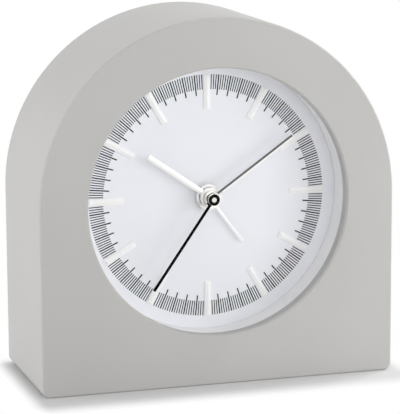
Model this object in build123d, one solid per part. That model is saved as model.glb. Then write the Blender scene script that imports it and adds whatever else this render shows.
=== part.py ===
from build123d import *
import os
from math import acos, cos, degrees, pi, radians, sin

# Arched quartz alarm clock, in millimetres. X is to the right seen from the front, the front faces -Y
# and Z is up. The origin is the middle of the base, half-way through the depth.

# Case
CASE_WIDTH = 105.0
ARCH_SPRING = 53.5
CASE_DEPTH = 44.4
SIDE_WALL = 3.0
FRONT_WALL = 3.6
FRONT_CHAMFER = 0.35
REAR_CHAMFER = 0.5
BASE_ROUND = 2.2
OPENING_RADIUS = 38.5
OPENING_CHAMFER = 0.5
AXIS_DROP = 0.6
RIB_ANGLES = (30, 90, 150, 210, 270, 330)
RIB_DEPTH = 1.6
RIB_WIDTH = 3.0
RIB_LENGTH = 6.0
PILLAR_RADIUS = 3.6
PILLAR_GAP = 1.0
UPPER_PILLAR_ANGLES = (45, 135)
BOSS_RADIUS = 3.0

# Lens, dial and the pan that carries them
LENS_THICKNESS = 1.5
LENS_OVERLAP = 2.1
SURROUND_RADIUS = 39.2
DIAL_THICKNESS = 0.4
DIAL_FIT = 0.05
PAN_FLOOR = 1.5
EAR_ANGLES = (225, 315)
EAR_REACH = 45.4
MARKER_INNER = 25.2
MARKER_LENGTH = 10.2
MARKER_WIDTH = 1.85
MARKER_HEIGHT = 0.8
MARKER_EDGE = 0.35
MARKER_SLOPE = 0.6

# Hands, at the photographed time: angles run clockwise from twelve
ALARM_ANGLE = 143.0
HOUR_ANGLE = 305.0
MINUTE_ANGLE = 55.2
SECOND_ANGLE = 215.1
ALARM_REACH = 17.2
HOUR_REACH = 22.4
MINUTE_REACH = 29.7
SECOND_REACH = 31.25
ALARM_HAND_WIDTH = 0.85
HOUR_HAND_WIDTH = 1.5
MINUTE_HAND_WIDTH = 1.15
SECOND_HAND_WIDTH = 0.8
HAND_THICKNESS = 0.5
HAND_EDGE = 0.25
HUB_HEIGHT = 1.1
HUB_BELOW = 0.3
FIRST_LIFT = 1.3
HAND_PITCH = 1.65
LENS_CLEARANCE = 0.85
ALARM_HUB = 3.7
HOUR_HUB = 2.9
MINUTE_HUB = 2.2
SECOND_HUB = 1.65
BUSH_RADIUS = 0.7

# Fits
SHAFT_FIT = 0.07
PRESS_FIT = 0.02
CLEARANCE = 0.3

# Sides of the prisms that stand for hidden round bosses and holes, screw heads, and the cell and pan
ROUND_SIDES = 8
HEAD_SIDES = 12
CELL_SIDES = 24
PAN_SIDES = 24

# Concentric arbors
ARBOR_RADIUS = 0.5
TUBE_WALL = 0.7
TUBE_STEP = 0.25
PIVOT_RADIUS = 0.5
POST_RADIUS = 0.8
PIN_RADIUS = 0.35

# Gear train: tooth counts, tooth modules and the width of each wheel
ROTOR_LEAVES = 6
INTERMEDIATE_TEETH = 30
INTERMEDIATE_LEAVES = 6
SECOND_TEETH = 36
SECOND_LEAVES = 6
THIRD_TEETH = 45
THIRD_LEAVES = 6
CENTRE_TEETH = 48
CANNON_LEAVES = 8
MOTION_TEETH = 24
MOTION_LEAVES = 6
HOUR_TEETH = 24
SETTING_LEAVES = 8
ALARM_TEETH = 32
ALARM_LEAVES = 8
FINE_MODULE = 0.33
TRAIN_MODULE = 0.4
MOTION_MODULE = 0.6
ADDENDUM = 0.8
DEDENDUM = 1.2
TOOTH_SHARE = 0.30
LEAF_SHARE = 0.26
ALARM_WHEEL_WIDTH = 1.2
HOUR_WHEEL_WIDTH = 1.0
MOTION_WHEEL_WIDTH = 1.3
TRAIN_WHEEL_WIDTH = 0.8
LAYER_GAP = 0.6
KNOB_SPACING = 30.0
THIRD_DIRECTION = 270.0
INTERMEDIATE_DIRECTION = 120.0
ROTOR_DIRECTION = 160.0

# Movement housing
MOVEMENT_WIDTH = 58.0
MOVEMENT_TOP = 22.0
MOVEMENT_BOTTOM = 22.5
HOUSING_WALL = 1.2
HOUSING_PLATE = 1.5
MIDDLE_PLATE = 1.2
CORNER_POST = 2.0
CORNER_POST_X = 23.0
CORNER_POST_INSET = 3.4
LUG_HEIGHT = 4.0
LUG_THICKNESS = 1.6
LUG_RADIUS = 2.8
LUG_SPREAD = 14.0

# Stepping motor
MAGNET_RADIUS = 3.0
MAGNET_HEIGHT = 2.0
STATOR_AIR_GAP = 0.6
STATOR_RIM = 1.6
STATOR_THICKNESS = 1.0
STATOR_ARM = 4.0
COIL_LENGTH = 21.0
CORE_WIDTH = 3.0
CORE_THICKNESS = 1.2
BOBBIN_WALL = 0.5
BOBBIN_FLANGE = 1.0
BOBBIN_HEIGHT = 6.6
BOBBIN_DEPTH = 4.8
WINDING_INSET = 0.3
WINDING_CHAMFER = 0.8

# Circuit
BOARD_THICKNESS = 1.2
BOARD_STANDOFF = 0.8
STANDOFF_RADIUS = 1.2
BOARD_STRIP = 8.0
BOARD_COLUMN = 10.2
CHIP_SIZE = 6.0
CHIP_HEIGHT = 1.4
CRYSTAL_RADIUS = 1.0
CRYSTAL_LENGTH = 6.0
BUZZER_RADIUS = 4.5
BUZZER_HEIGHT = 5.5
BUZZER_PORT = 1.1
BUZZER_PORT_DEPTH = 1.0
LEAF_THICKNESS = 0.25
LEAF_WIDTH = 2.0
LEAF_INSET = 4.0
LEAF_RISE = 8.0
LEAF_TIP_REACH = 6.6
LEAF_TIP_DIRECTION = 165.0

# Battery, a standard AA cell, and its bay
CELL_RADIUS = 7.25
CELL_BODY = 49.0
CELL_NUB_RADIUS = 2.75
CELL_NUB = 1.5
CELL_ROOM = 0.4
CONTACT_THICKNESS = 0.4
CONTACT_WIDTH = 6.0
SPRING_TRAVEL = 3.6

# Rear cover and controls
COVER_THICKNESS = 2.2
COVER_FIT = 0.3
DOOR_LIP = 1.6
DOOR_THICKNESS = 1.2
DOOR_GRIP_RIBS = 3
DOOR_RIB_LENGTH = 12.0
DOOR_RIB_WIDTH = 0.8
DOOR_RIB_HEIGHT = 0.5
DOOR_RIB_PITCH = 2.0
SHAFT_RADIUS = 1.25
FRONT_PIVOT = 0.8
KNOB_RADIUS = 5.5
KNOB_HEIGHT = 5.0
KNOB_GAP = 0.6
KNOB_SOCKET = 3.6
KNOB_FLUTES = 20
FLUTE_DEPTH = 0.35
FLUTE_SHARE = 0.30
SWITCH_X = 22.0
SWITCH_RISE = 14.0
SWITCH_TRAVEL = 3.5
SWITCH_NECK_WIDTH = 3.2
SWITCH_NECK_HEIGHT = 2.4
SWITCH_CAP_WIDTH = 6.5
SWITCH_CAP_HEIGHT = 5.0
SWITCH_CAP_DEPTH = 2.4
SWITCH_FLANGE = 0.8
SWITCH_GROOVES = 3
GROOVE_PITCH = 1.8
GROOVE_WIDTH = 0.8
GROOVE_DEPTH = 0.6
SOUND_SLOTS = 5
SOUND_SLOT_WIDTH = 1.0
SOUND_SLOT_LENGTH = 9.0

# Screws
SCREW_SHANK = 1.05
SCREW_HEAD = 2.2
SCREW_HEAD_HEIGHT = 1.4
SCREW_BITE = 6.0
SCREW_SLOT = 0.5
SCREW_SLOT_DEPTH = 0.7
LUG_SCREW_BITE = 3.0
HOUSING_SCREW_SHANK = 0.8
HOUSING_SCREW_HEAD = 1.7

# Places worked out from the sizes above, front to back
FRONT = -CASE_DEPTH / 2
BACK = CASE_DEPTH / 2
AXIS_Z = ARCH_SPRING - AXIS_DROP
INNER_HALF = CASE_WIDTH / 2 - SIDE_WALL
LENS_RADIUS = OPENING_RADIUS + LENS_OVERLAP
PAN_RADIUS = LENS_RADIUS
SEAT_RADIUS = LENS_RADIUS + CLEARANCE
LENS_FRONT = FRONT + FRONT_WALL
LENS_BACK = LENS_FRONT + LENS_THICKNESS
HOUR_LIFT = FIRST_LIFT + HAND_PITCH
MINUTE_LIFT = HOUR_LIFT + HAND_PITCH
SECOND_LIFT = MINUTE_LIFT + HAND_PITCH
HUB_TOP = HUB_HEIGHT - HUB_BELOW
DIAL_FRONT = LENS_BACK + LENS_CLEARANCE + SECOND_LIFT + HUB_TOP
DIAL_BACK = DIAL_FRONT + DIAL_THICKNESS
PAN_BACK = DIAL_BACK + PAN_FLOOR
PLATE_BACK = PAN_BACK + HOUSING_PLATE
ALARM_LAYER = PLATE_BACK + LAYER_GAP
HOUR_LAYER = ALARM_LAYER + ALARM_WHEEL_WIDTH + LAYER_GAP
MOTION_LAYER = HOUR_LAYER + HOUR_WHEEL_WIDTH + LAYER_GAP
MIDDLE_FRONT = MOTION_LAYER + MOTION_WHEEL_WIDTH + LAYER_GAP
MIDDLE_BACK = MIDDLE_FRONT + MIDDLE_PLATE
CENTRE_LAYER = MIDDLE_BACK + LAYER_GAP
THIRD_LAYER = CENTRE_LAYER + TRAIN_WHEEL_WIDTH + LAYER_GAP
SECOND_LAYER = THIRD_LAYER + TRAIN_WHEEL_WIDTH + LAYER_GAP
INTERMEDIATE_LAYER = SECOND_LAYER + TRAIN_WHEEL_WIDTH + LAYER_GAP
MAGNET_LAYER = INTERMEDIATE_LAYER + TRAIN_WHEEL_WIDTH + LAYER_GAP
REAR_PLATE = MAGNET_LAYER + MAGNET_HEIGHT + LAYER_GAP
MOVEMENT_BACK = REAR_PLATE + HOUSING_PLATE
BOARD_BACK = REAR_PLATE - BOARD_STANDOFF
BOARD_FRONT = BOARD_BACK - BOARD_THICKNESS
COVER_FRONT = MOVEMENT_BACK + SCREW_HEAD_HEIGHT + CLEARANCE
COVER_BACK = COVER_FRONT + COVER_THICKNESS
KNOB_FRONT = COVER_BACK + KNOB_GAP
KNOB_BACK = KNOB_FRONT + KNOB_HEIGHT

# Radii of the concentric tubes, from the second arbor outwards
MINUTE_BORE = ARBOR_RADIUS + SHAFT_FIT
MINUTE_TUBE = MINUTE_BORE + TUBE_WALL
HOUR_BORE = MINUTE_TUBE + SHAFT_FIT
HOUR_TUBE = HOUR_BORE + TUBE_WALL
ALARM_BORE = HOUR_TUBE + SHAFT_FIT
ALARM_TUBE = ALARM_BORE + TUBE_WALL
DIAL_HOLE = ALARM_TUBE + CLEARANCE

# Axes of the train, each as (x, z)
CENTRE = (0.0, AXIS_Z)


def polar(origin, distance, direction):
    return (origin[0] + distance * cos(radians(direction)), origin[1] + distance * sin(radians(direction)))


THIRD_DISTANCE = TRAIN_MODULE * (SECOND_LEAVES + THIRD_TEETH) / 2
CENTRE_MODULE = 2 * THIRD_DISTANCE / (THIRD_LEAVES + CENTRE_TEETH)
MOTION_DISTANCE = MOTION_MODULE * (CANNON_LEAVES + MOTION_TEETH) / 2
HOUR_MODULE = 2 * MOTION_DISTANCE / (MOTION_LEAVES + HOUR_TEETH)
SETTING_DISTANCE = MOTION_MODULE * (SETTING_LEAVES + MOTION_TEETH) / 2
ALARM_MODULE = KNOB_SPACING / (ALARM_TEETH + ALARM_LEAVES)
INTERMEDIATE_DISTANCE = FINE_MODULE * (SECOND_TEETH + INTERMEDIATE_LEAVES) / 2
ROTOR_DISTANCE = FINE_MODULE * (INTERMEDIATE_TEETH + ROTOR_LEAVES) / 2
KNOB_OFFSET = KNOB_SPACING / 2
MOTION_SQUARES = MOTION_DISTANCE**2 + KNOB_OFFSET**2 - SETTING_DISTANCE**2
MOTION_COSINE = MOTION_SQUARES / (2 * MOTION_DISTANCE * KNOB_OFFSET)
MOTION_DIRECTION = degrees(acos(MOTION_COSINE))
TIME_AXIS = (KNOB_OFFSET, AXIS_Z)
ALARM_AXIS = (-KNOB_OFFSET, AXIS_Z)
MOTION_AXIS = polar(CENTRE, MOTION_DISTANCE, MOTION_DIRECTION)
THIRD_AXIS = polar(CENTRE, THIRD_DISTANCE, THIRD_DIRECTION)
INTERMEDIATE_AXIS = polar(CENTRE, INTERMEDIATE_DISTANCE, INTERMEDIATE_DIRECTION)
ROTOR_AXIS = polar(INTERMEDIATE_AXIS, ROTOR_DISTANCE, ROTOR_DIRECTION)

# Movement outline and the bay under it
MOVEMENT_HALF = MOVEMENT_WIDTH / 2
ROOM_HALF = MOVEMENT_HALF - HOUSING_WALL
ROOM_TOP = AXIS_Z + MOVEMENT_TOP - HOUSING_WALL
ROOM_BOTTOM = AXIS_Z - MOVEMENT_BOTTOM + HOUSING_WALL
HOUSING_TOP = AXIS_Z + MOVEMENT_TOP
HOUSING_BOTTOM = AXIS_Z - MOVEMENT_BOTTOM
POST_TOP_Z = HOUSING_TOP - CORNER_POST_INSET
POST_BOTTOM_Z = HOUSING_BOTTOM + CORNER_POST_INSET
CORNER_POSTS = [(sx * CORNER_POST_X, z) for sx in (-1, 1) for z in (POST_TOP_Z, POST_BOTTOM_Z)]
LUG_X = MOVEMENT_HALF + LUG_RADIUS
LUGS = [(sx * LUG_X, AXIS_Z + sz * LUG_SPREAD) for sx in (-1, 1) for sz in (-1, 1)]
BAY_HEIGHT = 2 * (CELL_RADIUS + CELL_ROOM)
BAY_LENGTH = CELL_BODY + CELL_NUB + SPRING_TRAVEL + 2 * CONTACT_THICKNESS
BAY_TOP = HOUSING_BOTTOM - HOUSING_WALL
CELL_Z = BAY_TOP - CELL_ROOM - CELL_RADIUS
BAY_BOTTOM = BAY_TOP - BAY_HEIGHT
BAY_FLOOR = MOVEMENT_BACK - BAY_HEIGHT
CELL_Y = BAY_FLOOR + CELL_ROOM + CELL_RADIUS
BAY_RIGHT = BAY_LENGTH / 2
BAY_LEFT = -BAY_LENGTH / 2
DOOR_HALF_WIDTH = BAY_LENGTH / 2
DOOR_HALF_HEIGHT = BAY_HEIGHT / 2

# Screw places in the case
PILLAR_INSET = PILLAR_RADIUS + PILLAR_GAP
UPPER_PILLAR_REACH = INNER_HALF - PILLAR_INSET
LOWER_PILLAR_X = INNER_HALF - PILLAR_INSET
LOWER_PILLAR_Z = SIDE_WALL + PILLAR_INSET
UPPER_PILLARS = [polar((0.0, ARCH_SPRING), UPPER_PILLAR_REACH, a) for a in UPPER_PILLAR_ANGLES]
PILLARS = UPPER_PILLARS + [(sx * LOWER_PILLAR_X, LOWER_PILLAR_Z) for sx in (-1, 1)]
EARS = [polar(CENTRE, EAR_REACH, a) for a in EAR_ANGLES]


def slab(sketch, y0, y1):
    """A sketch drawn in X and Z, made solid from y0 back to y1."""
    return extrude(Plane((0, y1, 0), x_dir=(1, 0, 0), z_dir=(0, -1, 0)) * sketch, y1 - y0)


def disc(at, radius, y0, y1):
    return slab(Pos(*at) * Circle(radius), y0, y1)


def peg_outline(radius):
    return RegularPolygon(radius, ROUND_SIDES)


def hole_outline(radius):
    return RegularPolygon(radius, ROUND_SIDES, major_radius=False)


def peg(at, radius, y0, y1):
    """A hidden round boss: a prism with its corners on the radius."""
    return slab(Pos(*at) * peg_outline(radius), y0, y1)


def hole(at, radius, y0, y1):
    """The cutter for a hidden round hole: a prism with its flats on the radius."""
    return slab(Pos(*at) * hole_outline(radius), y0, y1)


def tube(at, outer, inner, y0, y1):
    return slab(Pos(*at) * (Circle(outer) - hole_outline(inner)), y0, y1)


def block(x0, x1, z0, z1, y0, y1):
    return slab(Pos((x0 + x1) / 2, (z0 + z1) / 2) * Rectangle(x1 - x0, z1 - z0), y0, y1)


def arch(half, bottom):
    """Straight sides under a half-round top, centred on the case's arch."""
    top = ARCH_SPRING + half
    outline = Polyline((-half, ARCH_SPRING), (-half, bottom), (half, bottom), (half, ARCH_SPRING))
    crown = ThreePointArc((half, ARCH_SPRING), (0, top), (-half, ARCH_SPRING))
    return make_face([*outline.edges(), crown])


def tooth_ring(teeth, module, phase, share):
    """Outline points of a toothed wheel: each tooth is a pair of root points and a tip."""
    pitch_radius = teeth * module / 2
    low = pitch_radius - DEDENDUM * module
    high = pitch_radius + ADDENDUM * module
    points = []
    for k in range(teeth):
        for radius, offset in ((low, -share), (high, 0), (low, share)):
            angle = radians(phase) + 2 * pi * (k + offset) / teeth
            points.append((radius * cos(angle), radius * sin(angle)))
    return points


def wheel(at, teeth, module, phase, y0, y1):
    return slab(Pos(*at) * Polygon(*tooth_ring(teeth, module, phase, TOOTH_SHARE), align=None), y0, y1)


def pinion(at, leaves, module, phase, y0, y1):
    return slab(Pos(*at) * Polygon(*tooth_ring(leaves, module, phase, LEAF_SHARE), align=None), y0, y1)


def mesh_phase(teeth, phase, mate_teeth, direction):
    """Angle of a tooth on the mate so that its gap faces the first wheel's tooth."""
    share = teeth * (phase - direction) / 360
    return direction + 180 + 360 * (0.5 - share) / mate_teeth


def case_shell():
    body = slab(arch(CASE_WIDTH / 2, 0), FRONT, BACK)
    base_corners = body.edges().filter_by(Axis.Y).group_by(Axis.Z)[0]
    body = fillet(base_corners, BASE_ROUND)
    body = chamfer(body.faces().sort_by(Axis.Y)[0].edges(), FRONT_CHAMFER)
    body = chamfer(body.faces().sort_by(Axis.Y)[-1].edges(), REAR_CHAMFER)
    body -= slab(arch(INNER_HALF, SIDE_WALL), LENS_FRONT, BACK + 1)
    body -= disc(CENTRE, OPENING_RADIUS, FRONT - 1, LENS_FRONT + 1)
    mouth = body.faces().sort_by(Axis.Y)[0].edges().filter_by(GeomType.CIRCLE)
    mouth = [e for e in mouth if abs(e.radius - OPENING_RADIUS) < 0.01]
    body = chamfer(mouth, OPENING_CHAMFER)
    for angle in RIB_ANGLES:
        rib = Pos(*polar(CENTRE, SEAT_RADIUS, angle)) * Rot(0, 0, angle) * Rectangle(2 * RIB_DEPTH, RIB_WIDTH)
        body += slab(rib, LENS_FRONT, LENS_FRONT + RIB_LENGTH)
    for at in EARS:
        body += peg(at, BOSS_RADIUS, LENS_FRONT, DIAL_BACK)
        body -= hole(at, SCREW_SHANK + PRESS_FIT, DIAL_BACK - SCREW_BITE, DIAL_BACK)
    for at in PILLARS:
        body += peg(at, PILLAR_RADIUS, LENS_FRONT, COVER_FRONT)
        body -= hole(at, SCREW_SHANK + PRESS_FIT, COVER_FRONT - SCREW_BITE, COVER_FRONT)
    body -= disc(CENTRE, SEAT_RADIUS, LENS_FRONT, COVER_FRONT)
    return body


def lens():
    return disc(CENTRE, LENS_RADIUS, LENS_FRONT, LENS_BACK)


def dial_pan():
    outline = Pos(*CENTRE) * RegularPolygon(PAN_RADIUS, PAN_SIDES)
    body = slab(outline, LENS_BACK, PAN_BACK) - disc(CENTRE, SURROUND_RADIUS, LENS_BACK, DIAL_BACK)
    for at, angle in zip(EARS, EAR_ANGLES):
        rim = polar(CENTRE, SURROUND_RADIUS, angle)
        web = Line(rim, at)
        strip = Pos(*(web @ 0.5)) * Rot(0, 0, angle) * Rectangle(web.length, 2 * BOSS_RADIUS)
        body += slab(strip, DIAL_BACK, PAN_BACK)
        body += peg(at, BOSS_RADIUS, DIAL_BACK, PAN_BACK)
        body -= hole(at, SCREW_SHANK + CLEARANCE, DIAL_BACK, PAN_BACK)
    post_back = PAN_BACK + LUG_HEIGHT
    for at in LUGS:
        body += peg(at, LUG_RADIUS, PAN_BACK, post_back)
        body -= hole(at, SCREW_SHANK + PRESS_FIT, post_back - LUG_SCREW_BITE, post_back)
    return body - hole(CENTRE, DIAL_HOLE, DIAL_BACK, PAN_BACK)


def dial():
    return tube(CENTRE, SURROUND_RADIUS - DIAL_FIT, DIAL_HOLE, DIAL_FRONT, DIAL_BACK)


def on_dial(angle, lift, solid):
    """Carry a solid that points up at the dial's centre round to its clock angle."""
    return Pos(0, DIAL_FRONT - lift, AXIS_Z) * Rot(0, angle, 0) * solid


def bar(profile, z0, z1):
    return extrude(Pos(0, 0, z0) * Polygon(*profile, align=None), z1 - z0)


def hour_markers():
    """Twelve batons, each with a ridge along its middle and sloping ends."""
    half = MARKER_WIDTH / 2
    profile = [(half, 0), (-half, 0), (-half, -MARKER_EDGE), (0, -MARKER_HEIGHT), (half, -MARKER_EDGE)]
    inner = MARKER_INNER
    outer = MARKER_INNER + MARKER_LENGTH
    side = Polygon(
        (0, inner),
        (0, outer),
        (-MARKER_EDGE, outer),
        (-MARKER_HEIGHT, outer - MARKER_SLOPE),
        (-MARKER_HEIGHT, inner + MARKER_SLOPE),
        (-MARKER_EDGE, inner),
        align=None,
    )
    marker = bar(profile, inner, outer) & extrude(Plane.YZ * side, half, both=True)
    return Compound(children=[on_dial(30 * k, 0, marker) for k in range(12)])


def blade(width, reach):
    """A hand's blade with a ridge along its middle, pointing up."""
    half = width / 2
    profile = [(half, 0), (-half, 0), (-half, -HAND_EDGE), (0, -HAND_THICKNESS), (half, -HAND_EDGE)]
    return bar(profile, 0, reach)


def hub(radius, bore):
    ring = Circle(radius) - hole_outline(bore)
    return Rot(90, 0, 0) * extrude(Pos(0, 0, -HUB_BELOW) * ring, HUB_HEIGHT)


def hand(width, reach, hub_radius, bore, angle, lift):
    core = Rot(90, 0, 0) * extrude(Pos(0, 0, -HUB_BELOW) * Circle(hub_radius), HUB_HEIGHT)
    return on_dial(angle, lift, blade(width, reach) - core + hub(hub_radius, bore))


def hand_seat(tube_radius):
    return tube_radius - TUBE_STEP


def alarm_hand():
    bore = hand_seat(ALARM_TUBE) + PRESS_FIT
    return hand(ALARM_HAND_WIDTH, ALARM_REACH, ALARM_HUB, bore, ALARM_ANGLE, FIRST_LIFT)


def hour_hand():
    bore = hand_seat(HOUR_TUBE) + PRESS_FIT
    return hand(HOUR_HAND_WIDTH, HOUR_REACH, HOUR_HUB, bore, HOUR_ANGLE, HOUR_LIFT)


def minute_hand():
    bore = hand_seat(MINUTE_TUBE) + PRESS_FIT
    return hand(MINUTE_HAND_WIDTH, MINUTE_REACH, MINUTE_HUB, bore, MINUTE_ANGLE, MINUTE_LIFT)


def second_hand():
    bore = BUSH_RADIUS + PRESS_FIT
    return hand(SECOND_HAND_WIDTH, SECOND_REACH, SECOND_HUB, bore, SECOND_ANGLE, SECOND_LIFT)


def second_hand_bush():
    base = DIAL_FRONT - SECOND_LIFT + HUB_BELOW
    body = disc(CENTRE, BUSH_RADIUS, base - HUB_HEIGHT, base)
    body += peg(CENTRE, BUSH_RADIUS + TUBE_STEP, base, base + TUBE_STEP)
    return body - hole(CENTRE, ARBOR_RADIUS + PRESS_FIT, base - HUB_TOP, base + TUBE_STEP)


def stepped_tube(outer, bore, lift, back):
    """A hand's tube: full width up to the hub, then stepped in to seat it."""
    shoulder = DIAL_FRONT - lift + HUB_BELOW
    top = shoulder - HUB_HEIGHT
    seat = peg(CENTRE, hand_seat(outer), top, shoulder) - hole(CENTRE, bore, top, shoulder)
    return tube(CENTRE, outer, bore, shoulder, back) + seat


SECOND_PINION_PHASE = 0.0
THIRD_PHASE = mesh_phase(SECOND_LEAVES, SECOND_PINION_PHASE, THIRD_TEETH, THIRD_DIRECTION)
THIRD_PINION_PHASE = 0.0
CENTRE_PHASE = mesh_phase(THIRD_LEAVES, THIRD_PINION_PHASE, CENTRE_TEETH, THIRD_DIRECTION + 180)
CANNON_PHASE = 0.0
MOTION_PHASE = mesh_phase(CANNON_LEAVES, CANNON_PHASE, MOTION_TEETH, MOTION_DIRECTION)
MOTION_PINION_PHASE = 0.0
HOUR_PHASE = mesh_phase(MOTION_LEAVES, MOTION_PINION_PHASE, HOUR_TEETH, MOTION_DIRECTION + 180)
SETTING_DIRECTION = -MOTION_DIRECTION
SETTING_PHASE = mesh_phase(MOTION_TEETH, MOTION_PHASE, SETTING_LEAVES, SETTING_DIRECTION)
ALARM_PHASE = 0.0
ALARM_SETTING_PHASE = mesh_phase(ALARM_TEETH, ALARM_PHASE, ALARM_LEAVES, 180.0)
INTERMEDIATE_PINION_PHASE = 0.0
TOWARDS_SECOND = INTERMEDIATE_DIRECTION + 180
SECOND_PHASE = mesh_phase(INTERMEDIATE_LEAVES, INTERMEDIATE_PINION_PHASE, SECOND_TEETH, TOWARDS_SECOND)
ROTOR_PHASE = 0.0
INTERMEDIATE_PHASE = mesh_phase(ROTOR_LEAVES, ROTOR_PHASE, INTERMEDIATE_TEETH, ROTOR_DIRECTION + 180)


def arbor(at, radius, front, leaves_front):
    """A hidden front pivot, then a round arbor from the pinion to the movement's back."""
    return peg(at, radius, front, leaves_front) + disc(at, radius, leaves_front, MOVEMENT_BACK)


def second_wheel():
    front = DIAL_FRONT - SECOND_LIFT + HUB_BELOW - HUB_TOP
    body = arbor(CENTRE, ARBOR_RADIUS, front, THIRD_LAYER)
    body += pinion(CENTRE, SECOND_LEAVES, TRAIN_MODULE, SECOND_PINION_PHASE, THIRD_LAYER, SECOND_LAYER)
    end = SECOND_LAYER + TRAIN_WHEEL_WIDTH
    return body + wheel(CENTRE, SECOND_TEETH, FINE_MODULE, SECOND_PHASE, SECOND_LAYER, end)


def third_wheel():
    end = THIRD_LAYER + TRAIN_WHEEL_WIDTH
    body = arbor(THIRD_AXIS, PIVOT_RADIUS, MIDDLE_FRONT, CENTRE_LAYER)
    body += pinion(THIRD_AXIS, THIRD_LEAVES, CENTRE_MODULE, THIRD_PINION_PHASE, CENTRE_LAYER, THIRD_LAYER)
    return body + wheel(THIRD_AXIS, THIRD_TEETH, TRAIN_MODULE, THIRD_PHASE, THIRD_LAYER, end)


def centre_wheel():
    end = CENTRE_LAYER + TRAIN_WHEEL_WIDTH
    body = wheel(CENTRE, CENTRE_TEETH, CENTRE_MODULE, CENTRE_PHASE, CENTRE_LAYER, end)
    return body - disc(CENTRE, MINUTE_TUBE + SHAFT_FIT, CENTRE_LAYER, end)


def minute_arbor():
    """The cannon pinion and its tube, with a journal in the middle plate and a rim past the centre wheel."""
    rim_front = CENTRE_LAYER + TRAIN_WHEEL_WIDTH + SHAFT_FIT
    rim_back = rim_front + LAYER_GAP / 2
    body = stepped_tube(MINUTE_TUBE, MINUTE_BORE, MINUTE_LIFT, rim_back)
    leaves_end = MIDDLE_FRONT - SHAFT_FIT
    body += pinion(CENTRE, CANNON_LEAVES, MOTION_MODULE, CANNON_PHASE, MOTION_LAYER, leaves_end)
    journal = MINUTE_TUBE + TUBE_WALL / 2
    body += peg(CENTRE, journal, leaves_end, CENTRE_LAYER - SHAFT_FIT)
    body += peg(CENTRE, journal, rim_front, rim_back)
    return body - hole(CENTRE, MINUTE_BORE, MOTION_LAYER, rim_back)


def hour_wheel():
    end = HOUR_LAYER + HOUR_WHEEL_WIDTH
    body = stepped_tube(HOUR_TUBE, HOUR_BORE, HOUR_LIFT, end)
    body += wheel(CENTRE, HOUR_TEETH, HOUR_MODULE, HOUR_PHASE, HOUR_LAYER, end)
    return body - hole(CENTRE, HOUR_BORE, HOUR_LAYER, end)


def alarm_wheel():
    end = ALARM_LAYER + ALARM_WHEEL_WIDTH
    body = stepped_tube(ALARM_TUBE, ALARM_BORE, FIRST_LIFT, end)
    body += wheel(CENTRE, ALARM_TEETH, ALARM_MODULE, ALARM_PHASE, ALARM_LAYER, end)
    return body - hole(CENTRE, ALARM_BORE, ALARM_LAYER, end)


def motion_wheel():
    end = MOTION_LAYER + MOTION_WHEEL_WIDTH
    body = pinion(MOTION_AXIS, MOTION_LEAVES, HOUR_MODULE, MOTION_PINION_PHASE, HOUR_LAYER, MOTION_LAYER)
    body += wheel(MOTION_AXIS, MOTION_TEETH, MOTION_MODULE, MOTION_PHASE, MOTION_LAYER, end)
    return body - disc(MOTION_AXIS, POST_RADIUS + SHAFT_FIT, HOUR_LAYER, end)


def intermediate_wheel():
    end = INTERMEDIATE_LAYER + TRAIN_WHEEL_WIDTH
    at = INTERMEDIATE_AXIS
    phase = INTERMEDIATE_PINION_PHASE
    body = pinion(at, INTERMEDIATE_LEAVES, FINE_MODULE, phase, SECOND_LAYER, INTERMEDIATE_LAYER)
    body += wheel(at, INTERMEDIATE_TEETH, FINE_MODULE, INTERMEDIATE_PHASE, INTERMEDIATE_LAYER, end)
    return body - disc(at, PIN_RADIUS + SHAFT_FIT, SECOND_LAYER, end)


def intermediate_pin():
    return peg(INTERMEDIATE_AXIS, PIN_RADIUS, SECOND_LAYER, MOVEMENT_BACK)


def rotor_pinion():
    body = arbor(ROTOR_AXIS, PIVOT_RADIUS, MIDDLE_FRONT, INTERMEDIATE_LAYER)
    return body + pinion(ROTOR_AXIS, ROTOR_LEAVES, FINE_MODULE, ROTOR_PHASE, INTERMEDIATE_LAYER, MAGNET_LAYER)


def rotor_magnet():
    end = MAGNET_LAYER + MAGNET_HEIGHT
    return tube(ROTOR_AXIS, MAGNET_RADIUS, PIVOT_RADIUS + PRESS_FIT, MAGNET_LAYER, end)


def setting_shaft(at, leaves, module, phase, layer, end):
    """A shaft from the front plate out to its knob, with its pinion in the given layer."""
    body = peg(at, FRONT_PIVOT, PAN_BACK + SHAFT_FIT, layer)
    body += pinion(at, leaves, module, phase, layer, end)
    return body + disc(at, SHAFT_RADIUS, end, KNOB_FRONT + KNOB_SOCKET)


def time_set_shaft():
    end = MOTION_LAYER + MOTION_WHEEL_WIDTH
    return setting_shaft(TIME_AXIS, SETTING_LEAVES, MOTION_MODULE, SETTING_PHASE, MOTION_LAYER, end)


def alarm_set_shaft():
    end = ALARM_LAYER + ALARM_WHEEL_WIDTH
    return setting_shaft(ALARM_AXIS, ALARM_LEAVES, ALARM_MODULE, ALARM_SETTING_PHASE, ALARM_LAYER, end)


def knob(at):
    low = KNOB_RADIUS - FLUTE_DEPTH
    points = []
    for k in range(KNOB_FLUTES):
        for radius, offset in ((low, 0), (KNOB_RADIUS, FLUTE_SHARE), (KNOB_RADIUS, 1 - FLUTE_SHARE)):
            points.append(polar(at, radius, 360 * (k + offset) / KNOB_FLUTES))
    body = slab(Polygon(*points, align=None), KNOB_FRONT, KNOB_BACK)
    return body - hole(at, SHAFT_RADIUS + PRESS_FIT, KNOB_FRONT, KNOB_FRONT + KNOB_SOCKET)


def time_set_knob():
    return knob(TIME_AXIS)


def alarm_set_knob():
    return knob(ALARM_AXIS)


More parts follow.
